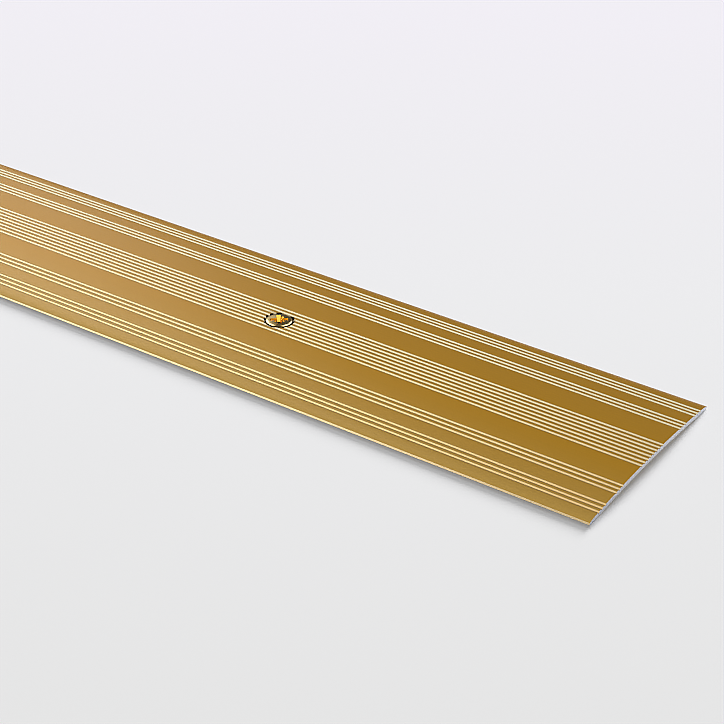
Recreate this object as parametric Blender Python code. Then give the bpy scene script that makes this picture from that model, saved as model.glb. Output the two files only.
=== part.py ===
"""Threshold strip of gold anodised aluminium, 60 mm wide and 930 mm long, with its countersunk screws.

The strip lies along X with its middle over the origin and rests on the floor plane Z = 0.
Its section is a low arch: a crowned top with groups of shallow grooves, leaning noses with an
undercut foot at both long edges, and a hollow underside between two flat bearing lands.
All sizes are in metres.
"""

import math

import bmesh
import bpy

# Strip
LENGTH = 0.930
WIDTH = 0.060
CROWN_RISE = 0.00152
WALL = 0.00125
LAND_CUT = 0.00030
CROWN_STEP = 0.00100

# Noses of the long edges: an undercut up to the foot line, a leaning face and a round shoulder
NOSE_UNDERCUT = 0.00050
NOSE_FOOT = 0.00025
NOSE_LEAN = math.radians(18)
SHOULDER_START = math.radians(70)
SHOULDER_RADIUS = 0.00900
SHOULDER_STEPS = 5

# Grooves: a side group is placed by the distance of its middle from the nearer long edge
GROOVE_PITCH = 0.001535
GROOVE_WIDTH = 0.00078
GROOVE_FLOOR = 0.00038
GROOVE_DEPTH = 0.00035
OUTER_GROUP_INSET = 0.00561
INNER_GROUP_INSET = 0.01374
SIDE_GROUP_GROOVES = 3
CENTRE_GROUP_GROOVES = 8

# Screw holes
HOLE_COUNT = 5
HOLE_END_DISTANCE = 0.1028
COUNTERSINK_DIAMETER = 0.0079
COUNTERSINK_ANGLE = math.radians(90)
BORE_DIAMETER = 0.0050
HOLE_SEGMENTS = 48

# Screws: each is cut off just above the floor that the strip lies on
SEAT_GAP = 0.00025
HEAD_SINK = 0.00010
HEAD_RIM = 0.00015
HEAD_DOME = 0.00025
SHANK_DIAMETER = 0.0040
FLOOR_GAP = 0.00015
DOME_STEPS = 4

# Cross recess in a screw head, and how far each screw is turned from the one before it
RECESS_SPAN = 0.0045
RECESS_SLOT = 0.00105
RECESS_FLOOR_SPAN = 0.0020
RECESS_FLOOR_SLOT = 0.00070
RECESS_DEPTH = 0.00140
SCREW_TURN = math.radians(40)
SCREW_TURN_STEP = math.radians(31)

# Room that a cutting tool has past the surface that it cuts
TOOL_CLEARANCE = 0.0005

# Surface finishes: colour, roughness
GOLD = ((0.46, 0.27, 0.075), 0.32)
BRASS = ((0.55, 0.36, 0.12), 0.22)
SHARP_ANGLE = math.radians(25)


def remove_everything() -> None:
    """Empties the scene."""
    for thing in list(bpy.data.objects):
        bpy.data.objects.remove(thing, do_unlink=True)


def metal(name: str, finish: tuple) -> bpy.types.Material:
    """Makes a metal from a finish of one colour and one roughness."""
    colour, roughness = finish
    material = bpy.data.materials.new(name)
    material.use_nodes = True
    shader = material.node_tree.nodes["Principled BSDF"]
    shader.inputs["Base Color"].default_value = (*colour, 1.0)
    shader.inputs["Metallic"].default_value = 1.0
    shader.inputs["Roughness"].default_value = roughness
    material.diffuse_color = (*colour, 1.0)
    return material


def mesh_from(name: str, shape: bmesh.types.BMesh) -> bpy.types.Mesh:
    """Turns a bmesh into a mesh with its faces pointing out and its round faces shaded smooth."""
    bmesh.ops.recalc_face_normals(shape, faces=shape.faces)
    mesh = bpy.data.meshes.new(name)
    shape.to_mesh(mesh)
    shape.free()
    mesh.shade_smooth()
    mesh.set_sharp_from_angle(angle=SHARP_ANGLE)
    return mesh


def place(name: str, mesh: bpy.types.Mesh) -> bpy.types.Object:
    """Adds a named object with a mesh to the scene."""
    thing = bpy.data.objects.new(name, mesh)
    bpy.context.scene.collection.objects.link(thing)
    return thing


def cut(target: bpy.types.Object, tool: bpy.types.Object) -> None:
    """Subtracts a tool from a target with a live modifier and hides the tool."""
    modifier = target.modifiers.new(tool.name, "BOOLEAN")
    modifier.operation = "DIFFERENCE"
    modifier.solver = "EXACT"
    modifier.object = tool
    tool.hide_render = True
    tool.display_type = "WIRE"


def turned_solid(points: list) -> bmesh.types.BMesh:
    """Spins (radius, height) pairs, which start and end on the axis, into a closed solid."""
    shape = bmesh.new()
    corners = [shape.verts.new((radius, 0.0, height)) for radius, height in points]
    edges = [shape.edges.new(pair) for pair in zip(corners, corners[1:])]
    bmesh.ops.spin(
        shape,
        geom=corners + edges,
        cent=(0.0, 0.0, 0.0),
        axis=(0.0, 0.0, 1.0),
        angle=2 * math.pi,
        steps=HOLE_SEGMENTS,
        use_merge=True,
    )
    bmesh.ops.remove_doubles(shape, verts=shape.verts, dist=1e-7)
    return shape


def crown_height(across: float) -> float:
    """Height over the floor of the plain top, at a distance from the strip's centre line."""
    return WALL - LAND_CUT + CROWN_RISE * (1 - (2 * across / WIDTH) ** 2)


def crown_points(start: float, end: float) -> list:
    """Points along the plain crown between two places across the strip, both ends included."""
    steps = max(1, round((end - start) / CROWN_STEP))
    places = [start + (end - start) * index / steps for index in range(steps + 1)]
    return [(across, crown_height(across)) for across in places]


def groove_centres() -> list:
    """Places across the strip of the middle of each groove, from the front edge to the back one."""
    outer = WIDTH / 2 - OUTER_GROUP_INSET
    inner = WIDTH / 2 - INNER_GROUP_INSET
    groups = [
        (-outer, SIDE_GROUP_GROOVES),
        (-inner, SIDE_GROUP_GROOVES),
        (0.0, CENTRE_GROUP_GROOVES),
        (inner, SIDE_GROUP_GROOVES),
        (outer, SIDE_GROUP_GROOVES),
    ]
    centres = []
    for middle, count in groups:
        for index in range(count):
            centres.append(middle + (index - (count - 1) / 2) * GROOVE_PITCH)
    return centres


def groove_floor_points(centre: float) -> list:
    """The floor of one groove, whose sides slope up to lips on the plain crown."""
    floor = crown_height(centre) - GROOVE_DEPTH
    return [(centre - GROOVE_FLOOR / 2, floor), (centre + GROOVE_FLOOR / 2, floor)]


def nose_points() -> list:
    """The front nose, from its foot line up the leaning face and over the shoulder onto the crown."""
    slope = math.atan(4 * CROWN_RISE / WIDTH)
    reach = SHOULDER_RADIUS * (math.cos(SHOULDER_START) - math.sin(slope))
    lift = crown_height(-WIDTH / 2 + reach) - SHOULDER_RADIUS * math.cos(slope)
    face = lift + SHOULDER_RADIUS * math.sin(SHOULDER_START) - NOSE_FOOT
    face_top = -WIDTH / 2 + face * math.tan(NOSE_LEAN)
    centre = face_top + SHOULDER_RADIUS * math.cos(SHOULDER_START)
    turn = math.pi / 2 - slope - SHOULDER_START
    points = [(-WIDTH / 2, NOSE_FOOT)]
    for index in range(SHOULDER_STEPS + 1):
        angle = SHOULDER_START + turn * index / SHOULDER_STEPS
        across = centre - SHOULDER_RADIUS * math.cos(angle)
        points.append((across, lift + SHOULDER_RADIUS * math.sin(angle)))
    return points


def underside_points() -> list:
    """The hollow underside, one wall below the crown, from one bearing land back to the other."""
    half = WIDTH / 2 * math.sqrt(1 - LAND_CUT / CROWN_RISE)
    points = [(across, height - WALL) for across, height in crown_points(-half, half)]
    inside = points[1:-1]
    return [(half, 0.0)] + inside[::-1] + [(-half, 0.0)]


def section_points() -> list:
    """The closed outline of the strip's section as (across, height) pairs."""
    nose = nose_points()
    start = nose[-1][0]
    bearing = WIDTH / 2 - NOSE_UNDERCUT
    outline = [(-bearing, 0.0)] + nose[:-1]
    for centre in groove_centres():
        outline += crown_points(start, centre - GROOVE_WIDTH / 2)
        outline += groove_floor_points(centre)
        start = centre + GROOVE_WIDTH / 2
    outline += crown_points(start, -nose[-1][0])
    outline += [(-across, height) for across, height in nose[-2::-1]]
    outline += [(bearing, 0.0)]
    return outline + underside_points()


def hole_places() -> list:
    """Places along the strip of the screw holes, evenly spread between the two end distances."""
    first = -LENGTH / 2 + HOLE_END_DISTANCE
    spacing = (LENGTH - 2 * HOLE_END_DISTANCE) / (HOLE_COUNT - 1)
    return [first + index * spacing for index in range(HOLE_COUNT)]


def countersink_radius(height: float) -> float:
    """Radius of the countersink's cone at a height over the floor."""
    return COUNTERSINK_DIAMETER / 2 + (height - crown_height(0.0)) * math.tan(COUNTERSINK_ANGLE / 2)


def hole_tool_mesh() -> bpy.types.Mesh:
    """The solid that cuts one countersink and its bore."""
    top = crown_height(0.0) + TOOL_CLEARANCE
    cone_depth = (COUNTERSINK_DIAMETER - BORE_DIAMETER) / 2 / math.tan(COUNTERSINK_ANGLE / 2)
    cone_end = crown_height(0.0) - cone_depth
    bottom = min(0.0, cone_end) - TOOL_CLEARANCE
    profile = [
        (0.0, bottom),
        (BORE_DIAMETER / 2, bottom),
        (BORE_DIAMETER / 2, cone_end),
        (countersink_radius(top), top),
        (0.0, top),
    ]
    return mesh_from("hole_tool", turned_solid(profile))


def make_strip() -> None:
    """Extrudes the section along the strip and cuts its screw holes."""
    shape = bmesh.new()
    corners = [shape.verts.new((-LENGTH / 2, across, height)) for across, height in section_points()]
    extruded = bmesh.ops.extrude_face_region(shape, geom=[shape.faces.new(corners)])
    far_end = [item for item in extruded["geom"] if isinstance(item, bmesh.types.BMVert)]
    bmesh.ops.translate(shape, verts=far_end, vec=(LENGTH, 0.0, 0.0))
    strip = place("strip", mesh_from("strip", shape))
    strip.data.materials.append(metal("gold_anodised_aluminium", GOLD))
    tool_mesh = hole_tool_mesh()
    for number, along in enumerate(hole_places(), start=1):
        tool = place(f"hole_tool_{number}", tool_mesh)
        tool.location.x = along
        cut(strip, tool)


def screw_mesh() -> bpy.types.Mesh:
    """One screw without its recess: a domed countersunk head over a shank cut off above the floor."""
    seat = math.tan(COUNTERSINK_ANGLE / 2)
    rim_foot = crown_height(0.0) - HEAD_SINK
    rim_top = rim_foot + HEAD_RIM
    head = countersink_radius(rim_foot) - SEAT_GAP / math.cos(COUNTERSINK_ANGLE / 2)
    cone_end = rim_foot - (head - SHANK_DIAMETER / 2) / seat
    profile = [(0.0, FLOOR_GAP)]
    if cone_end > FLOOR_GAP:
        profile += [(SHANK_DIAMETER / 2, FLOOR_GAP), (SHANK_DIAMETER / 2, cone_end)]
    else:
        profile += [(head - (rim_foot - FLOOR_GAP) * seat, FLOOR_GAP)]
    profile += [(head, rim_foot)]
    for index in range(DOME_STEPS + 1):
        share = 1 - index / DOME_STEPS
        profile.append((head * share, rim_top + HEAD_DOME * (1 - share**2)))
    return mesh_from("screw", turned_solid(profile))


def cross_outline(shape: bmesh.types.BMesh, span: float, slot: float, height: float) -> list:
    """Adds the level outline of a cross to a bmesh and returns its edges in order."""
    arm = [(slot / 2, -slot / 2), (span / 2, -slot / 2), (span / 2, slot / 2)]
    corners = []
    for quarter in range(4):
        cosine, sine = round(math.cos(math.pi / 2 * quarter)), round(math.sin(math.pi / 2 * quarter))
        for x, y in arm:
            corners.append(shape.verts.new((x * cosine - y * sine, x * sine + y * cosine, height)))
    return [shape.edges.new((corner, corners[index - 1])) for index, corner in enumerate(corners)]


def recess_tool_mesh() -> bpy.types.Mesh:
    """The cross that tapers from the head's face down to the recess's floor."""
    face = crown_height(0.0) - HEAD_SINK + HEAD_RIM + HEAD_DOME
    over = 1 + TOOL_CLEARANCE / RECESS_DEPTH
    top_span = RECESS_FLOOR_SPAN + (RECESS_SPAN - RECESS_FLOOR_SPAN) * over
    top_slot = RECESS_FLOOR_SLOT + (RECESS_SLOT - RECESS_FLOOR_SLOT) * over
    shape = bmesh.new()
    floor = cross_outline(shape, RECESS_FLOOR_SPAN, RECESS_FLOOR_SLOT, face - RECESS_DEPTH)
    top = cross_outline(shape, top_span, top_slot, face + TOOL_CLEARANCE)
    bmesh.ops.bridge_loops(shape, edges=floor + top)
    bmesh.ops.holes_fill(shape, edges=shape.edges, sides=0)
    return mesh_from("recess_tool", shape)


def make_screws() -> None:
    """Puts a screw in every hole, each turned differently as when driven by hand."""
    shape = screw_mesh()
    shape.materials.append(metal("brass_coloured_steel", BRASS))
    recess = recess_tool_mesh()
    for number, along in enumerate(reversed(hole_places()), start=1):
        screw = place(f"screw_{number}", shape)
        screw.location.x = along
        screw.rotation_euler.z = SCREW_TURN + SCREW_TURN_STEP * (number - 1)
        tool = place(f"recess_tool_{number}", recess)
        tool.parent = screw
        cut(screw, tool)


def main() -> None:
    """Builds the strip and its screws."""
    remove_everything()
    make_strip()
    make_screws()


main()
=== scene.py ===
"""A gold anodised threshold strip with its countersunk screws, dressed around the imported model.

The strip lies along X on the floor Z = 0 and its ribbed face looks up. All sizes are in metres.
"""

from __future__ import annotations

import logging
import math
from bisect import bisect_left
from dataclasses import dataclass, field, replace
from enum import Enum, IntEnum

import bmesh
import bpy
from mathutils import Matrix, Vector

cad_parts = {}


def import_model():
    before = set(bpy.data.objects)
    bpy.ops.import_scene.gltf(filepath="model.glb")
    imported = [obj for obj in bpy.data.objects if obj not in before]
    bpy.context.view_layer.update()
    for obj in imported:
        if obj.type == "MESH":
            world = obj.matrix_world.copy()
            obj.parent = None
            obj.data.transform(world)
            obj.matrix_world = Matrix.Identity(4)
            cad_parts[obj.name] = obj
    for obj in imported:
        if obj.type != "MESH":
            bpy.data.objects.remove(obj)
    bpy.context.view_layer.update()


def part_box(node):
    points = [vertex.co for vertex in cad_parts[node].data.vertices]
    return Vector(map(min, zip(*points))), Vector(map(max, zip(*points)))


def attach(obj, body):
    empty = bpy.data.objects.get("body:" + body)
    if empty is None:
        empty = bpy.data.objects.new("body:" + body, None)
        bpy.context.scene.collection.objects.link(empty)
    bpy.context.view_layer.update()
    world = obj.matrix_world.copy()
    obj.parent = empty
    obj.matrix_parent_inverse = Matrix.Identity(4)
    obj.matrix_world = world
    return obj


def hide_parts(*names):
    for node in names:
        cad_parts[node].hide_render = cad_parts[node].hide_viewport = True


ROOT = "root"
MILLIMETRE = 0.001
MERGE_DISTANCE = 1e-7
CUT_TOLERANCE = 1e-9
SCREW_COUNT = 5
SCREW_TURN = math.radians(40)
SCREW_TURN_STEP = math.radians(31)
Colour = tuple[float, float, float]
LOG = logging.getLogger("threshold_strip")


class Finish(Enum):
    """The finishes that the pieces are dressed in."""

    GOLD_ANODISED = "gold_anodised_aluminium"
    # Painted highlight in the grooves.
    GROOVE_HIGHLIGHT = "groove_gold_painted_highlight"
    # Painted highlight on the noses.
    NOSE_HIGHLIGHT = "nose_gold_painted_highlight"
    # Painted shade on the underside.
    UNDERSIDE_SHADE = "underside_gold_painted_shade"
    SAWN_ALUMINIUM = "sawn_aluminium"
    BRASS_PLATED = "brass_plated_steel"
    # Painted reflection in the screws' recesses.
    RECESS_REFLECTION = "recess_brass_painted_reflection"
    # Painted shadow round the screw heads and in the recesses.
    GAP_SHADOW = "countersink_painted_shadow"
    FLOOR = "pale_floor"


class Receiver(Enum):
    """What a light falls on."""

    FLOOR = "floor"
    STRIP = "strip and screws"
    SCREWS = "screws"


class StripFace(IntEnum):
    """The strip's kinds of face, numbered in the order of its finishes."""

    SKIN = 0
    SAWN_END = 1
    GROOVE = 2
    UNDERSIDE = 3
    NOSE = 4


class ScrewFace(IntEnum):
    """The kinds of face of a screw and of the bars that cut its recess, numbered likewise."""

    BRIGHT = 0
    DARK = 1


class NodeChain:
    """Makes one material by adding shader nodes and wiring them together."""

    def __init__(self, finish: Finish) -> None:
        """Starts a material with an empty node tree.

        Args:
            finish: The finish that the material is made for.
        """
        self.material = bpy.data.materials.new(finish.value)
        self.material.use_nodes = True
        self.tree = self.material.node_tree
        self.tree.nodes.clear()

    def add(self, kind: str, **settings: object) -> bpy.types.Node:
        """Adds a node.

        Args:
            kind: The node's type name after "ShaderNode".
            settings: Attributes to set on the node.

        Returns:
            The new node.
        """
        node = self.tree.nodes.new("ShaderNode" + kind)
        for name, value in settings.items():
            setattr(node, name, value)
        return node

    def link(self, source: bpy.types.NodeSocket, target: bpy.types.NodeSocket) -> None:
        """Joins an output socket to an input socket."""
        self.tree.links.new(source, target)

    def finished(self, shader: bpy.types.Node) -> bpy.types.Material:
        """Wires the shader to the output.

        Args:
            shader: The shader whose first output is the surface.

        Returns:
            The finished material.
        """
        output = self.add("OutputMaterial")
        self.link(shader.outputs["BSDF"], output.inputs["Surface"])
        return self.material

    def stretched_noise(self, scale: Vector, detail: float, grain: float) -> bpy.types.NodeSocket:
        """Noise on object coordinates, stretched by a scale of its own on each axis.

        Args:
            scale: Noise cells for each metre along X, Y and Z.
            detail: Octaves of the noise.
            grain: How much the finer octaves count.

        Returns:
            The noise's value socket.
        """
        place = self.add("TexCoord")
        mapping = self.add("Mapping")
        mapping.inputs["Scale"].default_value = scale
        noise = self.add("TexNoise")
        noise.inputs["Scale"].default_value = 1.0
        noise.inputs["Detail"].default_value = detail
        noise.inputs["Roughness"].default_value = grain
        self.link(place.outputs["Object"], mapping.inputs["Vector"])
        self.link(mapping.outputs["Vector"], noise.inputs["Vector"])
        return noise.outputs["Fac"]

    def mapped(self, source: bpy.types.NodeSocket, low: float, high: float) -> bpy.types.NodeSocket:
        """Maps a value from 0..1 to low..high."""
        node = self.add("MapRange")
        node.inputs["To Min"].default_value = low
        node.inputs["To Max"].default_value = high
        self.link(source, node.inputs["Value"])
        return node.outputs["Result"]

    def mixed_colour(
        self,
        factor: bpy.types.NodeSocket,
        first: Colour | bpy.types.NodeSocket,
        second: Colour,
    ) -> bpy.types.NodeSocket:
        """Mixes two colours.

        Args:
            factor: The share of the second colour.
            first: The first colour, or the socket that gives it.
            second: The second colour.

        Returns:
            The mixed colour's socket.
        """
        node = self.add("Mix", data_type="RGBA")
        sockets = [socket for socket in node.inputs if socket.type == "RGBA"]
        if isinstance(first, tuple):
            sockets[0].default_value = (*first, 1.0)
        else:
            self.link(first, sockets[0])
        sockets[1].default_value = (*second, 1.0)
        self.link(factor, node.inputs["Factor"])
        return next(socket for socket in node.outputs if socket.type == "RGBA")

    def tinted_across(
        self, colour: bpy.types.NodeSocket, tint: Colour, starts: float, ends: float
    ) -> bpy.types.NodeSocket:
        """Fades a colour into a tint across the object.

        Args:
            colour: The colour before the tint.
            tint: The colour it fades into.
            starts: The Y where the fade starts.
            ends: The Y where only the tint is left.

        Returns:
            The tinted colour's socket.
        """
        place = self.add("TexCoord")
        split = self.add("SeparateXYZ")
        fade = self.add("MapRange")
        fade.inputs["From Min"].default_value = starts
        fade.inputs["From Max"].default_value = ends
        self.link(place.outputs["Object"], split.inputs["Vector"])
        self.link(split.outputs["Y"], fade.inputs["Value"])
        return self.mixed_colour(fade.outputs["Result"], colour, tint)

    def roughen(
        self, shader: bpy.types.Node, pattern: bpy.types.NodeSocket, roughness: float, spread: float
    ) -> None:
        """Lets a shader's roughness follow a pattern.

        Args:
            shader: The shader.
            pattern: The pattern, from 0 to 1.
            roughness: The mean roughness.
            spread: How far the roughness strays from its mean.
        """
        mapped = self.mapped(pattern, roughness - spread, roughness + spread)
        self.link(mapped, shader.inputs["Roughness"])

    def emboss(self, shader: bpy.types.Node, pattern: bpy.types.NodeSocket, depth: float) -> None:
        """Gives a shader the relief of a pattern, a depth in metres high."""
        node = self.add("Bump")
        node.inputs["Distance"].default_value = depth
        node.inputs["Strength"].default_value = 1.0
        self.link(pattern, node.inputs["Height"])
        self.link(node.outputs["Normal"], shader.inputs["Normal"])


@dataclass(frozen=True)
class AnodisedGold:
    """Satin gold anodising over aluminium, with the fine lines that the die drew along it, and a
    painted highlight: a paler tint faded in across the strip.
    """

    deep: Colour = (0.82, 0.415, 0.004)
    pale: Colour = (0.88, 0.45, 0.010)
    # Painted highlight: a paler tint towards the front edge stands in for the sheen of the lights
    # there.
    painted_highlight: Colour | None = (0.84, 0.51, 0.09)
    highlight_starts: float = -8.0 * MILLIMETRE
    highlight_ends: float = -29.0 * MILLIMETRE
    metallic: float = 0.55
    specular: float = 0.0
    roughness: float = 0.50
    roughness_spread: float = 0.03
    coat: float = 1.0
    coat_roughness: float = 0.3
    coat_ior: float = 1.6
    edge_tint: Colour = (1.0, 0.72, 0.30)
    die_lines: Vector = field(default_factory=lambda: Vector((3.0, 9000.0, 9000.0)))
    line_detail: float = 2.0
    line_grain: float = 0.5
    line_depth: float = 0.004 * MILLIMETRE
    name: Finish = Finish.GOLD_ANODISED

    def make(self) -> bpy.types.Material:
        """Builds the material.

        Returns:
            The new material.
        """
        chain = NodeChain(self.name)
        shader = chain.add("BsdfPrincipled")
        lines = chain.stretched_noise(self.die_lines, self.line_detail, self.line_grain)
        colour = chain.mixed_colour(lines, self.deep, self.pale)
        # Painted highlight: the paler tint stands in for the lights' sheen, towards the front on
        # the skin and towards the back in the grooves.
        if self.painted_highlight is not None:
            colour = chain.tinted_across(colour, self.painted_highlight, self.highlight_starts, self.highlight_ends)
        chain.link(colour, shader.inputs["Base Color"])
        chain.roughen(shader, lines, self.roughness, self.roughness_spread)
        chain.emboss(shader, lines, self.line_depth)
        shader.inputs["Metallic"].default_value = self.metallic
        shader.inputs["Specular IOR Level"].default_value = self.specular
        shader.inputs["Specular Tint"].default_value = (*self.edge_tint, 1.0)
        shader.inputs["Coat Weight"].default_value = self.coat
        shader.inputs["Coat Roughness"].default_value = self.coat_roughness
        shader.inputs["Coat IOR"].default_value = self.coat_ior
        return chain.finished(shader)


def groove_highlight_gold() -> AnodisedGold:
    """The grooves' gold, painted paler and brighter to strengthen the highlight that the front
    lights make in them, and palest towards the back as a painted highlight.
    """
    return AnodisedGold(
        deep=(0.84, 0.54, 0.17),
        pale=(0.88, 0.59, 0.21),
        painted_highlight=(0.98, 0.86, 0.53),
        highlight_starts=-24.0 * MILLIMETRE,
        highlight_ends=24.0 * MILLIMETRE,
        metallic=1.0,
        roughness=0.30,
        edge_tint=(1.0, 1.0, 0.9),
        coat_ior=1.9,
        name=Finish.GROOVE_HIGHLIGHT,
    )


def nose_highlight_gold() -> AnodisedGold:
    """The two long noses' gold, painted pale and even to strengthen the highlight that the low
    front light makes on them.
    """
    return replace(
        groove_highlight_gold(),
        deep=(0.88, 0.63, 0.28),
        pale=(0.92, 0.69, 0.34),
        painted_highlight=None,
        roughness=0.28,
        name=Finish.NOSE_HIGHLIGHT,
    )


def underside_shade_gold() -> AnodisedGold:
    """The hollow underside's gold, painted darker and duller as shade, so that less gold light
    bounces about under the arch.
    """
    return AnodisedGold(
        deep=(0.42, 0.34, 0.20),
        pale=(0.48, 0.39, 0.24),
        painted_highlight=None,
        roughness=0.60,
        coat=0.0,
        name=Finish.UNDERSIDE_SHADE,
    )


@dataclass(frozen=True)
class SawnAluminium:
    """Bare aluminium with the close upright marks of a saw blade."""

    dull: Colour = (0.62, 0.63, 0.67)
    bright: Colour = (0.86, 0.87, 0.92)
    roughness: float = 0.42
    roughness_spread: float = 0.10
    marks: Vector = field(default_factory=lambda: Vector((500.0, 4000.0, 900.0)))
    mark_detail: float = 3.0
    mark_grain: float = 0.6
    mark_depth: float = 0.02 * MILLIMETRE

    def make(self) -> bpy.types.Material:
        """Builds the material.

        Returns:
            The new material.
        """
        chain = NodeChain(Finish.SAWN_ALUMINIUM)
        shader = chain.add("BsdfPrincipled")
        marks = chain.stretched_noise(self.marks, self.mark_detail, self.mark_grain)
        chain.link(chain.mixed_colour(marks, self.dull, self.bright), shader.inputs["Base Color"])
        chain.roughen(shader, marks, self.roughness, self.roughness_spread)
        chain.emboss(shader, marks, self.mark_depth)
        shader.inputs["Metallic"].default_value = 1.0
        return chain.finished(shader)


@dataclass(frozen=True)
class BrassPlate:
    """Bright brass plating on a steel screw, a little uneven as plating is."""

    deep: Colour = (0.30, 0.19, 0.05)
    pale: Colour = (0.66, 0.48, 0.20)
    roughness: float = 0.17
    roughness_spread: float = 0.05
    clouds: Vector = field(default_factory=lambda: Vector((1100.0, 1100.0, 1100.0)))
    cloud_detail: float = 4.0
    cloud_grain: float = 0.55
    cloud_depth: float = 0.012 * MILLIMETRE
    name: Finish = Finish.BRASS_PLATED

    def make(self) -> bpy.types.Material:
        """Builds the material.

        Returns:
            The new material.
        """
        chain = NodeChain(self.name)
        shader = chain.add("BsdfPrincipled")
        clouds = chain.stretched_noise(self.clouds, self.cloud_detail, self.cloud_grain)
        chain.link(chain.mixed_colour(clouds, self.deep, self.pale), shader.inputs["Base Color"])
        chain.roughen(shader, clouds, self.roughness, self.roughness_spread)
        chain.emboss(shader, clouds, self.cloud_depth)
        shader.inputs["Metallic"].default_value = 1.0
        return chain.finished(shader)


def recess_reflection_brass() -> BrassPlate:
    """The driver recess's brass, painted deeper and yellower as the warm reflections that bounce
    about inside it.
    """
    return BrassPlate(
        deep=(0.78, 0.42, 0.04),
        pale=(0.95, 0.62, 0.10),
        roughness=0.24,
        name=Finish.RECESS_REFLECTION,
    )


@dataclass(frozen=True)
class GapShadow:
    """Painted shadow: near-black for the drilled wall round a screw head, the head's side and the
    recess floor, with faint rings in its tone.
    """

    dark: Colour = (0.010, 0.006, 0.003)
    paler_shadow: Colour = (0.040, 0.024, 0.010)
    roughness: float = 0.55
    roughness_spread: float = 0.15
    specular: float = 0.15
    rings: Vector = field(default_factory=lambda: Vector((700.0, 700.0, 12000.0)))
    ring_detail: float = 3.0
    ring_grain: float = 0.6

    def make(self) -> bpy.types.Material:
        """Builds the material.

        Returns:
            The new material.
        """
        chain = NodeChain(Finish.GAP_SHADOW)
        shader = chain.add("BsdfPrincipled")
        rings = chain.stretched_noise(self.rings, self.ring_detail, self.ring_grain)
        chain.link(chain.mixed_colour(rings, self.dark, self.paler_shadow), shader.inputs["Base Color"])
        chain.roughen(shader, rings, self.roughness, self.roughness_spread)
        shader.inputs["Specular IOR Level"].default_value = self.specular
        return chain.finished(shader)


@dataclass(frozen=True)
class PaleFloor:
    """A matt pale floor, a touch cooler and lighter towards the back."""

    front: Colour = (0.784, 0.784, 0.785)
    middle: Colour = (0.838, 0.838, 0.853)
    back: Colour = (0.880, 0.857, 0.912)
    heading: float = math.radians(32.28)
    near: float = -0.34
    far: float = 0.055
    middle_place: float = 0.42

    def make(self) -> bpy.types.Material:
        """Builds the material.

        Returns:
            The new material.
        """
        chain = NodeChain(Finish.FLOOR)
        shader = chain.add("BsdfDiffuse")
        place = chain.add("TexCoord")
        along = chain.add("VectorMath", operation="DOT_PRODUCT")
        along.inputs[1].default_value = (-math.sin(self.heading), math.cos(self.heading), 0.0)
        fade = chain.add("MapRange")
        fade.inputs["From Min"].default_value = self.near
        fade.inputs["From Max"].default_value = self.far
        ramp = chain.add("ValToRGB")
        ramp.color_ramp.elements[0].color = (*self.front, 1.0)
        ramp.color_ramp.elements[1].color = (*self.back, 1.0)
        ramp.color_ramp.elements.new(self.middle_place).color = (*self.middle, 1.0)
        chain.link(place.outputs["Object"], along.inputs[0])
        chain.link(along.outputs["Value"], fade.inputs["Value"])
        chain.link(fade.outputs["Result"], ramp.inputs["Fac"])
        chain.link(ramp.outputs["Color"], shader.inputs["Color"])
        return chain.finished(shader)


def finish_mesh(shape: bmesh.types.BMesh, name: str, sharp_angle: float) -> bpy.types.Mesh:
    """Turns a bmesh into a smooth-shaded mesh with sharp corners kept.

    Args:
        shape: The bmesh, which is freed.
        name: The mesh's name.
        sharp_angle: The angle over which an edge stays sharp.

    Returns:
        The new mesh.
    """
    bmesh.ops.recalc_face_normals(shape, faces=shape.faces)
    mesh = bpy.data.meshes.new(name)
    shape.to_mesh(mesh)
    shape.free()
    mesh.shade_smooth()
    mesh.set_sharp_from_angle(angle=sharp_angle)
    return mesh


def add_object(name: str, data: bpy.types.ID | None) -> bpy.types.Object:
    """Adds an object to the scene."""
    thing = bpy.data.objects.new(name, data)
    bpy.context.scene.collection.objects.link(thing)
    return thing


def spun(profile: list[tuple[float, float]], steps: int) -> bmesh.types.BMesh:
    """Spins a profile round the Z axis into a closed solid.

    Args:
        profile: (radius, height) pairs that start and end on the axis.
        steps: Steps in the full turn.

    Returns:
        The solid as a bmesh.
    """
    shape = bmesh.new()
    corners = [shape.verts.new((radius, 0.0, height)) for radius, height in profile]
    edges = [shape.edges.new(pair) for pair in zip(corners, corners[1:])]
    bmesh.ops.spin(
        shape,
        geom=corners + edges,
        cent=(0.0, 0.0, 0.0),
        axis=(0.0, 0.0, 1.0),
        angle=2 * math.pi,
        steps=steps,
        use_merge=True,
    )
    bmesh.ops.remove_doubles(shape, verts=shape.verts, dist=MERGE_DISTANCE)
    return shape


def slice_through(
    shape: bmesh.types.BMesh,
    place: tuple[float, float, float],
    normal: tuple[float, float, float],
) -> None:
    """Splits every face and edge of a bmesh that a plane crosses.

    Args:
        shape: The bmesh.
        place: A point on the plane.
        normal: The plane's normal.
    """
    bmesh.ops.bisect_plane(
        shape,
        geom=[*shape.verts, *shape.edges, *shape.faces],
        dist=CUT_TOLERANCE,
        plane_co=place,
        plane_no=normal,
    )


def carve(target: bpy.types.Object, tools: list[bpy.types.Object], sharp_angle: float) -> None:
    """Subtracts closed tools from a target, keeps the result as its mesh and removes the tools.

    Args:
        target: The piece that is cut.
        tools: The cutting solids.
        sharp_angle: The angle over which an edge stays sharp.
    """
    for tool in tools:
        modifier = target.modifiers.new(tool.name, "BOOLEAN")
        modifier.operation = "DIFFERENCE"
        modifier.solver = "EXACT"
        modifier.material_mode = "TRANSFER"
        modifier.object = tool
    evaluated = target.evaluated_get(bpy.context.evaluated_depsgraph_get())
    mesh = bpy.data.meshes.new_from_object(evaluated)
    target.modifiers.clear()
    target.data = mesh
    mesh.shade_smooth()
    mesh.set_sharp_from_angle(angle=sharp_angle)
    for tool in tools:
        bpy.data.objects.remove(tool, do_unlink=True)


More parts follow.
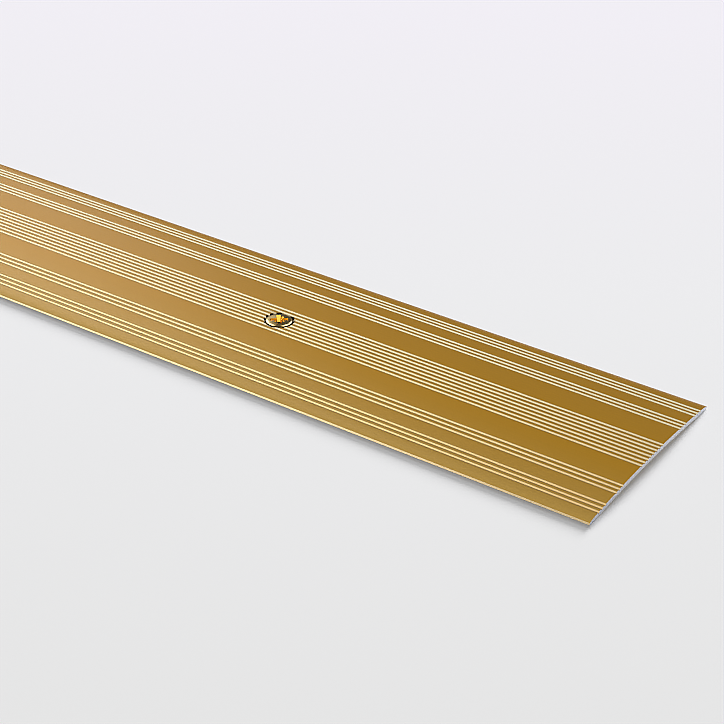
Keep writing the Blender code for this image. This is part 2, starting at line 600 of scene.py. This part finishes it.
@dataclass
class Strip:
    """The extruded strip: a low arch with grooves along it, sawn ends and countersunk holes."""

    node: str = "strip"
    slot: str = "anodised_aluminium"
    crown_rise: float = 1.52 * MILLIMETRE
    wall: float = 1.25 * MILLIMETRE
    land_cut: float = 0.30 * MILLIMETRE
    nose_undercut: float = 0.50 * MILLIMETRE
    nose_foot: float = 0.25 * MILLIMETRE
    nose_reach: float = 1.00 * MILLIMETRE
    nose_lean: float = math.radians(18)
    shoulder_start: float = math.radians(70)
    shoulder_radius: float = 9.00 * MILLIMETRE
    shoulder_steps: int = 10
    crown_step: float = 0.8 * MILLIMETRE
    groove_pitch: float = 1.535 * MILLIMETRE
    groove_width: float = 0.78 * MILLIMETRE
    groove_floor: float = 0.40 * MILLIMETRE
    groove_depth: float = 0.35 * MILLIMETRE
    outer_inset: float = 5.61 * MILLIMETRE
    inner_inset: float = 13.74 * MILLIMETRE
    side_grooves: int = 3
    centre_grooves: int = 8
    countersink: float = 7.9 * MILLIMETRE
    bore: float = 5.0 * MILLIMETRE
    hole_steps: int = 96
    hole_margin: float = 6.0 * MILLIMETRE
    tool_room: float = 0.5 * MILLIMETRE
    lip_round: float = 0.07 * MILLIMETRE
    lip_steps: int = 3
    plain_margin: float = 1.5 * MILLIMETRE
    long_edge: float = 1.5 * MILLIMETRE
    facing: float = 0.9
    facing_down: float = -0.5
    sharp_angle: float = math.radians(35)
    low: Vector = field(init=False)
    high: Vector = field(init=False)

    def __post_init__(self) -> None:
        """Reads the strip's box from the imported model."""
        self.low, self.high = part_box(self.node)

    @property
    def width(self) -> float:
        """The strip's width."""
        return self.high.y - self.low.y

    def crown(self, across: float) -> float:
        """Height of the plain top at a distance from the centre line."""
        return self.wall - self.land_cut + self.crown_rise * (1 - (2 * across / self.width) ** 2)

    def groove_centres(self) -> list[float]:
        """Places of the grooves' middles across the strip."""
        outer = self.width / 2 - self.outer_inset
        inner = self.width / 2 - self.inner_inset
        groups = [(side * place, self.side_grooves) for side in (-1, 1) for place in (outer, inner)]
        groups.append((0.0, self.centre_grooves))
        centres = []
        for middle, count in groups:
            for index in range(count):
                centres.append(middle + (index - (count - 1) / 2) * self.groove_pitch)
        return sorted(centres)

    def nose(self) -> list[tuple[float, float]]:
        """The front nose as (across, height) pairs, from its foot up the leaning face."""
        slope = math.atan(4 * self.crown_rise / self.width)
        run = self.shoulder_radius * math.cos(self.shoulder_start)
        reach = run - self.shoulder_radius * math.sin(slope)
        lift = self.crown(-self.width / 2 + reach) - self.shoulder_radius * math.cos(slope)
        face = lift + self.shoulder_radius * math.sin(self.shoulder_start) - self.nose_foot
        centre = -self.width / 2 + face * math.tan(self.nose_lean) + run
        turn = math.pi / 2 - slope - self.shoulder_start
        points = [(-self.width / 2, self.nose_foot)]
        for index in range(self.shoulder_steps + 1):
            angle = self.shoulder_start + turn * index / self.shoulder_steps
            across = centre - self.shoulder_radius * math.cos(angle)
            points.append((across, lift + self.shoulder_radius * math.sin(angle)))
        return points

    def top_heights(self) -> dict[float, float]:
        """Heights of the top at every place across the strip where its outline turns."""
        nose = self.nose()
        heights = dict(nose)
        start = nose[-1][0]
        stops = [*self.groove_centres(), None]
        for centre in stops:
            end = -nose[-1][0] if centre is None else centre - self.groove_width / 2
            count = max(1, round((end - start) / self.crown_step))
            for index in range(count + 1):
                across = start + (end - start) * index / count
                heights[across] = self.crown(across)
            if centre is not None:
                floor = self.crown(centre) - self.groove_depth
                for side in (-1, 1):
                    heights[centre + side * self.groove_floor / 2] = floor
                start = centre + self.groove_width / 2
        heights.update({-across: height for across, height in nose})
        return heights

    def top_height(self, across: float, heights: dict[float, float]) -> float:
        """Height of the top on the straight line between the two outline turns beside a place.

        Args:
            across: The place across the strip.
            heights: Heights of the top at its outline's turns.

        Returns:
            The height.
        """
        places = sorted(heights)
        index = min(max(bisect_left(places, across), 1), len(places) - 1)
        before, after = places[index - 1], places[index]
        share = (across - before) / (after - before)
        return heights[before] + (heights[after] - heights[before]) * share

    def underside(self, across: float) -> float:
        """Height of the underside: flat on its bearing lands, undercut below the noses."""
        past_land = abs(across) - (self.width / 2 - self.nose_undercut)
        if past_land > 0:
            return self.nose_foot * past_land / self.nose_undercut
        return max(0.0, self.crown(across) - self.wall)

    def section(self) -> bmesh.types.BMesh:
        """Makes the section at the strip's left end.

        Returns:
            A bmesh with a row of cells that fill the section.
        """
        heights = self.top_heights()
        half = self.width / 2
        shape = bmesh.new()
        outline = [(-half, 0.0), (half, 0.0), (half, self.wall), (-half, self.wall)]
        corners = [shape.verts.new((self.low.x, across, height)) for across, height in outline]
        shape.faces.new(corners)
        land = half * math.sqrt(1 - self.land_cut / self.crown_rise)
        bearing = half - self.nose_undercut
        for across in sorted({*heights, -bearing, -land, land, bearing}):
            if abs(across) < half - CUT_TOLERANCE:
                slice_through(shape, (0.0, across, 0.0), (0.0, 1.0, 0.0))
        for corner in shape.verts:
            if corner.co.z > self.wall / 2:
                corner.co.z = self.top_height(corner.co.y, heights)
            else:
                corner.co.z = self.underside(corner.co.y)
        bmesh.ops.remove_doubles(shape, verts=shape.verts, dist=MERGE_DISTANCE)
        return shape

    def body(self, holes: list[float]) -> bpy.types.Mesh:
        """Extrudes the section and cuts it beside each hole.

        Args:
            holes: Places of the holes along the strip.

        Returns:
            The strip's mesh before its holes are cut.
        """
        shape = self.section()
        extruded = bmesh.ops.extrude_face_region(shape, geom=list(shape.faces))
        far_end = [item for item in extruded["geom"] if isinstance(item, bmesh.types.BMVert)]
        bmesh.ops.translate(shape, verts=far_end, vec=(self.high.x - self.low.x, 0.0, 0.0))
        self.round_lips(shape)
        for hole in holes:
            for side in (-1, 1):
                place = (hole + side * self.hole_margin, 0.0, 0.0)
                slice_through(shape, place, (1.0, 0.0, 0.0))
        bmesh.ops.recalc_face_normals(shape, faces=shape.faces)
        for face in shape.faces:
            face.material_index = self.kind(face)
        return finish_mesh(shape, self.node, self.sharp_angle)

    def kind(self, face: bmesh.types.BMFace) -> StripFace:
        """Tells a face's kind from where it is and which way it looks.

        Args:
            face: A face of the strip.

        Returns:
            The kind of the face.
        """
        if abs(face.normal.x) > self.facing:
            return StripFace.SAWN_END
        middle = face.calc_center_median()
        if abs(face.normal.y) > self.facing:
            is_nose = abs(middle.y) > self.width / 2 - self.nose_reach
            return StripFace.NOSE if is_nose else StripFace.GROOVE
        if face.normal.z < self.facing_down:
            return StripFace.UNDERSIDE
        nearest = min(abs(middle.y - centre) for centre in self.groove_centres())
        on_top = middle.z > self.crown(middle.y) - 2 * self.groove_depth
        in_groove = on_top and nearest < self.groove_width / 2 + self.lip_round
        return StripFace.GROOVE if in_groove else StripFace.SKIN

    def round_lips(self, shape: bmesh.types.BMesh) -> None:
        """Rounds the lips and the floor corners of the grooves."""
        bmesh.ops.recalc_face_normals(shape, faces=shape.faces)
        inside = self.width / 2 - self.plain_margin
        corners = []
        for edge in shape.edges:
            first, second = (corner.co for corner in edge.verts)
            is_long = abs(first.x - second.x) > self.long_edge
            if is_long and abs(first.y) < inside and edge.calc_face_angle(0.0) > self.sharp_angle:
                corners.append(edge)
        bmesh.ops.bevel(
            shape,
            geom=corners,
            affect="EDGES",
            offset=self.lip_round,
            segments=self.lip_steps,
            profile=0.5,
            material=-1,
        )

    def hole_tool(self, along: float, finish: bpy.types.Material) -> bpy.types.Object:
        """Makes the solid that cuts one countersunk hole.

        Args:
            along: The hole's place along the strip.
            finish: The painted shadow that the drilled wall gets.

        Returns:
            The cutting object.
        """
        top = self.crown(0.0) + self.tool_room
        cone_end = self.crown(0.0) - (self.countersink - self.bore) / 2
        bottom = min(0.0, cone_end) - self.tool_room
        profile = [
            (0.0, bottom),
            (self.bore / 2, bottom),
            (self.bore / 2, cone_end),
            (self.countersink / 2 + self.tool_room, top),
            (0.0, top),
        ]
        shape = spun(profile, self.hole_steps)
        bmesh.ops.translate(shape, verts=shape.verts, vec=(along, 0.0, 0.0))
        tool = add_object("hole_tool", finish_mesh(shape, "hole_tool", self.sharp_angle))
        tool.data.materials.append(finish)
        return tool

    def build(
        self,
        holes: list[float],
        finishes: list[bpy.types.Material],
        hole_shadow: bpy.types.Material,
    ) -> bpy.types.Object:
        """Builds and dresses the strip.

        Args:
            holes: Places of the holes along the strip.
            finishes: The finishes, one for each StripFace and in its order.
            hole_shadow: The painted shadow on the drilled walls.

        Returns:
            The finished piece.
        """
        piece = add_object("ribbed_strip", self.body(holes))
        for finish in finishes:
            piece.data.materials.append(finish)
        carve(piece, [self.hole_tool(hole, hole_shadow) for hole in holes], self.sharp_angle)
        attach(piece, ROOT)
        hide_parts(self.node)
        return piece


@dataclass
class Screw:
    """A countersunk screw: low dome, turned-down rim, star-like cross recess and cut-off shank."""

    node: str
    turn: float
    slot: str = "brass_screw"
    head: float = 6.60 * MILLIMETRE
    rim_foot_drop: float = 0.42 * MILLIMETRE
    rim_band: float = 0.34 * MILLIMETRE
    rim_band_drop: float = 0.15 * MILLIMETRE
    dome: float = 0.20 * MILLIMETRE
    dome_steps: int = 8
    shank: float = 4.0 * MILLIMETRE
    turn_steps: int = 96
    wing_span: float = 4.70 * MILLIMETRE
    wing_floor_span: float = 2.10 * MILLIMETRE
    wing_width: float = 1.20 * MILLIMETRE
    wing_floor_width: float = 0.62 * MILLIMETRE
    wing_depth: float = 1.35 * MILLIMETRE
    tick_span: float = 3.60 * MILLIMETRE
    tick_floor_span: float = 1.50 * MILLIMETRE
    tick_width: float = 0.55 * MILLIMETRE
    tick_floor_width: float = 0.16 * MILLIMETRE
    tick_depth: float = 0.62 * MILLIMETRE
    tool_room: float = 0.30 * MILLIMETRE
    sharp_angle: float = math.radians(28)
    face_facing: float = 0.3
    floor_facing: float = -0.9
    low: Vector = field(init=False)
    high: Vector = field(init=False)

    def __post_init__(self) -> None:
        """Reads the screw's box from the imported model."""
        self.low, self.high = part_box(self.node)

    @property
    def place(self) -> tuple[float, float, float]:
        """The foot of the screw's axis on the floor plane."""
        return ((self.low.x + self.high.x) / 2, (self.low.y + self.high.y) / 2, 0.0)

    def profile(self) -> list[tuple[float, float]]:
        """The turned outline from the shank's cut end up over the head to the axis."""
        radius = self.head / 2
        face = radius - self.rim_band
        face_rim = self.high.z - self.dome
        rim = face_rim - self.rim_band_drop
        foot = face_rim - self.rim_foot_drop
        cone_end = max(self.low.z, foot - (radius - self.shank / 2))
        points = [(0.0, self.low.z), (radius - (foot - cone_end), self.low.z)]
        if cone_end > self.low.z:
            points.append((radius - (foot - cone_end), cone_end))
        points += [(radius, foot), (radius, rim)]
        for index in range(self.dome_steps + 1):
            share = 1 - index / self.dome_steps
            points.append((face * share, face_rim + self.dome * (1 - share**2)))
        return points

    def wing_tool(
        self, turn: float, top: tuple[float, float], floor: tuple[float, float], depth: float
    ) -> bpy.types.Object:
        """Makes the tapered bar that cuts one pair of wings of the recess.

        Args:
            turn: The bar's turn about the screw's axis.
            top: The bar's length and width at the face.
            floor: The bar's length and width at its floor.
            depth: How deep the bar goes.

        Returns:
            The cutting object.
        """
        shape = bmesh.new()
        bmesh.ops.create_cube(shape, size=1.0)
        stretch = (depth + self.tool_room) / depth
        for corner in shape.verts:
            is_top = corner.co.z > 0
            rise = stretch if is_top else 0.0
            length, width = (low + (high - low) * rise for low, high in zip(floor, top))
            height = self.high.z + self.tool_room if is_top else self.high.z - depth
            corner.co = (corner.co.x * length, corner.co.y * width, height)
        about_axis = Matrix.Rotation(turn, 3, "Z")
        bmesh.ops.rotate(shape, verts=shape.verts, cent=(0.0, 0.0, 0.0), matrix=about_axis)
        bmesh.ops.translate(shape, verts=shape.verts, vec=self.place)
        return add_object("wing_tool", finish_mesh(shape, "wing_tool", self.sharp_angle))

    def build(
        self, plate: bpy.types.Material, recess: bpy.types.Material, gap: bpy.types.Material
    ) -> bpy.types.Object:
        """Builds and dresses the screw.

        Args:
            plate: The finish of the head's face and rim.
            recess: The brass of the recess's walls, painted with warm reflections.
            gap: The painted shadow on the head's side, in the gap, and on the recess's floor.

        Returns:
            The finished piece.
        """
        shape = spun(self.profile(), self.turn_steps)
        bmesh.ops.translate(shape, verts=shape.verts, vec=self.place)
        bmesh.ops.recalc_face_normals(shape, faces=shape.faces)
        # Faces that don't look up, the head's side in the gap and the cone below it, get the
        # painted shadow.
        for face in shape.faces:
            is_face = face.normal.z > self.face_facing
            face.material_index = ScrewFace.BRIGHT if is_face else ScrewFace.DARK
        name = self.node + "_head"
        piece = add_object(name, finish_mesh(shape, name, self.sharp_angle))
        piece.data.materials.append(plate)
        piece.data.materials.append(gap)
        quarter = math.pi / 2
        wings = (
            (self.wing_span, self.wing_width),
            (self.wing_floor_span, self.wing_floor_width),
            self.wing_depth,
        )
        ticks = (
            (self.tick_span, self.tick_width),
            (self.tick_floor_span, self.tick_floor_width),
            self.tick_depth,
        )
        tools = [self.wing_tool(self.turn + index * quarter, *wings) for index in range(2)]
        tools += [self.wing_tool(self.turn + (index + 0.5) * quarter, *ticks) for index in range(2)]
        for tool in tools:
            # The recess walls get the brass painted with warm reflections.
            tool.data.materials.append(recess)
            tool.data.materials.append(gap)
            # The recess floor gets the painted shadow.
            for face in tool.data.polygons:
                is_floor = face.normal.z < self.floor_facing
                face.material_index = ScrewFace.DARK if is_floor else ScrewFace.BRIGHT
        carve(piece, tools, self.sharp_angle)
        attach(piece, ROOT)
        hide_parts(self.node)
        return piece


@dataclass
class Camera:
    """The camera, at the photograph's view."""

    target: Vector = field(default_factory=lambda: Vector((0.3879674, -0.0012595, 0.0)))
    azimuth: float = math.radians(32.2824)
    elevation: float = math.radians(29.9265)
    roll: float = math.radians(2.5791)
    distance: float = 0.448234
    focal_pixels: float = 1843.88
    image_pixels: float = 724.0
    sensor: float = 36.0
    nearest: float = 0.01
    farthest: float = 20.0

    def build(self) -> None:
        """Makes the camera and gives it to the scene."""
        data = bpy.data.cameras.new("camera")
        data.sensor_width = self.sensor
        data.lens = self.focal_pixels / self.image_pixels * self.sensor
        data.clip_start = self.nearest
        data.clip_end = self.farthest
        sine, cosine = math.sin(self.azimuth), math.cos(self.azimuth)
        flat = math.cos(self.elevation)
        level = Vector((cosine, sine, 0.0))
        back = Vector((sine * flat, -cosine * flat, math.sin(self.elevation)))
        upright = back.cross(level)
        right = math.cos(self.roll) * level + math.sin(self.roll) * upright
        up = -math.sin(self.roll) * level + math.cos(self.roll) * upright
        camera = add_object("camera", data)
        turn = Matrix((right, up, back)).transposed().to_4x4()
        camera.matrix_world = Matrix.Translation(self.target + back * self.distance) @ turn
        bpy.context.scene.camera = camera


@dataclass(frozen=True)
class SoftLight:
    """A round soft light at a studio's distance, given by what the strip sees of it."""

    name: str
    azimuth: float
    elevation: float
    spread: float
    radiance: float
    lights: Receiver = Receiver.STRIP
    shadows: bool = True

    def build(self, receivers: dict[Receiver, list[bpy.types.Object]]) -> None:
        """Makes the light.

        Args:
            receivers: What each kind of light falls on.
        """
        data = bpy.data.lights.new(self.name, "SUN")
        data.angle = math.radians(self.spread)
        data.energy = self.radiance * math.pi * math.sin(data.angle / 2) ** 2
        data.use_shadow = self.shadows
        light = add_object(self.name, data)
        turn, rise = math.radians(self.azimuth), math.radians(self.elevation)
        flat = math.cos(rise)
        towards = Vector((-math.sin(turn) * flat, math.cos(turn) * flat, math.sin(rise)))
        light.rotation_mode = "QUATERNION"
        light.rotation_quaternion = towards.to_track_quat("Z", "Y")
        lit = bpy.data.collections.new(self.name + "_receivers")
        for thing in receivers[self.lights]:
            lit.objects.link(thing)
        light.light_linking.receiver_collection = lit


@dataclass
class Studio:
    """The pale floor and the lights, whose azimuths turn from the back (+Y) to the left (-X)."""

    floor_half: float = 24.0
    floor_drop: float = 0.02 * MILLIMETRE
    floor_sharp_angle: float = math.radians(30)
    sky: Colour = (0.17, 0.17, 0.17)
    lights: tuple[SoftLight, ...] = (
        SoftLight("front_left_softbox", 118.0, 22.0, 30.0, 0.9),
        SoftLight("left_softbox", 52.0, 22.0, 30.0, 0.78),
        SoftLight("front_softbox", 148.0, 20.0, 30.0, 0.85),
        SoftLight("high_left_softbox", 60.0, 40.0, 30.0, 0.75),
        SoftLight("high_front_softbox", 150.0, 40.0, 30.0, 0.35),
        SoftLight("overhead_softbox", 150.0, 65.0, 50.0, 0.45),
        SoftLight("right_softbox", 290.0, 45.0, 50.0, 1.35),
        SoftLight("low_front_softbox", 135.0, 4.0, 42.0, 1.8),
        SoftLight("screw_low_left_light", 64.0, 30.0, 24.0, 5.0, lights=Receiver.SCREWS),
        SoftLight("screw_high_left_light", 73.0, 52.0, 24.0, 5.0, lights=Receiver.SCREWS),
        SoftLight("screw_high_back_light", 354.0, 58.0, 26.0, 5.0, lights=Receiver.SCREWS),
        SoftLight("screw_low_back_light", 0.0, 34.0, 24.0, 5.0, lights=Receiver.SCREWS),
        SoftLight("screw_front_light", 205.0, 14.0, 36.0, 2.4, lights=Receiver.SCREWS),
        SoftLight("screw_high_front_light", 212.0, 57.0, 24.0, 1.8, lights=Receiver.SCREWS),
        SoftLight("low_back_light", 5.0, 12.5, 12.0, 190.0, lights=Receiver.FLOOR),
        SoftLight("high_back_light", 26.0, 28.0, 24.0, 8.5, lights=Receiver.FLOOR),
        SoftLight("floor_fill", 0.0, 90.0, 30.0, 3.15, lights=Receiver.FLOOR, shadows=False),
    )

    def build(self, strip: bpy.types.Object, screws: list[bpy.types.Object]) -> None:
        """Makes the floor, the sky and the lights.

        Args:
            strip: The strip, which the softboxes light together with the screws.
            screws: The screws, which some of the lights fall on alone.
        """
        shape = bmesh.new()
        bmesh.ops.create_grid(shape, x_segments=1, y_segments=1, size=self.floor_half)
        bmesh.ops.translate(shape, verts=shape.verts, vec=(0.0, 0.0, -self.floor_drop))
        floor = add_object("floor", finish_mesh(shape, "floor", self.floor_sharp_angle))
        floor.data.materials.append(PaleFloor().make())
        world = bpy.data.worlds.new("studio")
        world.use_nodes = True
        background = world.node_tree.nodes["Background"]
        background.inputs["Color"].default_value = (*self.sky, 1.0)
        background.inputs["Strength"].default_value = 1.0
        bpy.context.scene.world = world
        receivers = {
            Receiver.FLOOR: [floor],
            Receiver.STRIP: [strip, *screws],
            Receiver.SCREWS: screws,
        }
        for light in self.lights:
            light.build(receivers)
        bpy.context.scene.view_settings.view_transform = "Standard"


@dataclass(frozen=True)
class Sharpening:
    """The mild sharpening that a product photograph gets, done on gamma-encoded light."""

    amount: float = 0.11
    gamma: float = 2.2
    pixel_filter: float = 1.2

    def build(self) -> None:
        """Makes the compositor's chain and sets the pixel filter."""
        scene = bpy.context.scene
        scene.cycles.filter_width = self.pixel_filter
        scene.use_nodes = True
        tree = scene.node_tree
        tree.nodes.clear()
        picture = tree.nodes.new("CompositorNodeRLayers")
        encode = tree.nodes.new("CompositorNodeGamma")
        sharpen = tree.nodes.new("CompositorNodeFilter")
        decode = tree.nodes.new("CompositorNodeGamma")
        result = tree.nodes.new("CompositorNodeComposite")
        encode.inputs["Gamma"].default_value = 1.0 / self.gamma
        sharpen.filter_type = "SHARPEN"
        sharpen.inputs["Fac"].default_value = self.amount
        decode.inputs["Gamma"].default_value = self.gamma
        tree.links.new(picture.outputs["Image"], encode.inputs["Image"])
        tree.links.new(encode.outputs["Image"], sharpen.inputs["Image"])
        tree.links.new(sharpen.outputs["Image"], decode.inputs["Image"])
        tree.links.new(decode.outputs["Image"], result.inputs["Image"])


def main() -> None:
    """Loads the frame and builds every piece."""
    logging.basicConfig(level=logging.INFO, format="%(message)s")
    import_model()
    names = [f"screw_{number}" for number in range(1, SCREW_COUNT + 1)]
    holes = [(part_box(name)[0].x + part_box(name)[1].x) / 2 for name in names]
    Camera().build()
    # Painted shadow for the drilled walls, the screw heads' sides and the recess floors.
    gap = GapShadow().make()
    finishes = {
        # The skin carries a painted highlight towards its front edge.
        StripFace.SKIN: AnodisedGold(),
        StripFace.SAWN_END: SawnAluminium(),
        # Painted highlight in the grooves.
        StripFace.GROOVE: groove_highlight_gold(),
        # Painted shade on the underside.
        StripFace.UNDERSIDE: underside_shade_gold(),
        # Painted highlight on the noses.
        StripFace.NOSE: nose_highlight_gold(),
    }
    strip = Strip().build(holes, [finishes[kind].make() for kind in StripFace], gap)
    LOG.info("%s: %d faces", strip.name, len(strip.data.polygons))
    # The recess brass is painted with warm reflections.
    plate, recess = BrassPlate().make(), recess_reflection_brass().make()
    screws = []
    for index, name in enumerate(names):
        screw = Screw(name, SCREW_TURN + index * SCREW_TURN_STEP).build(plate, recess, gap)
        LOG.info("%s: %d faces", screw.name, len(screw.data.polygons))
        screws.append(screw)
    Studio().build(strip, screws)
    Sharpening().build()


if __name__ == "__main__":
    main()
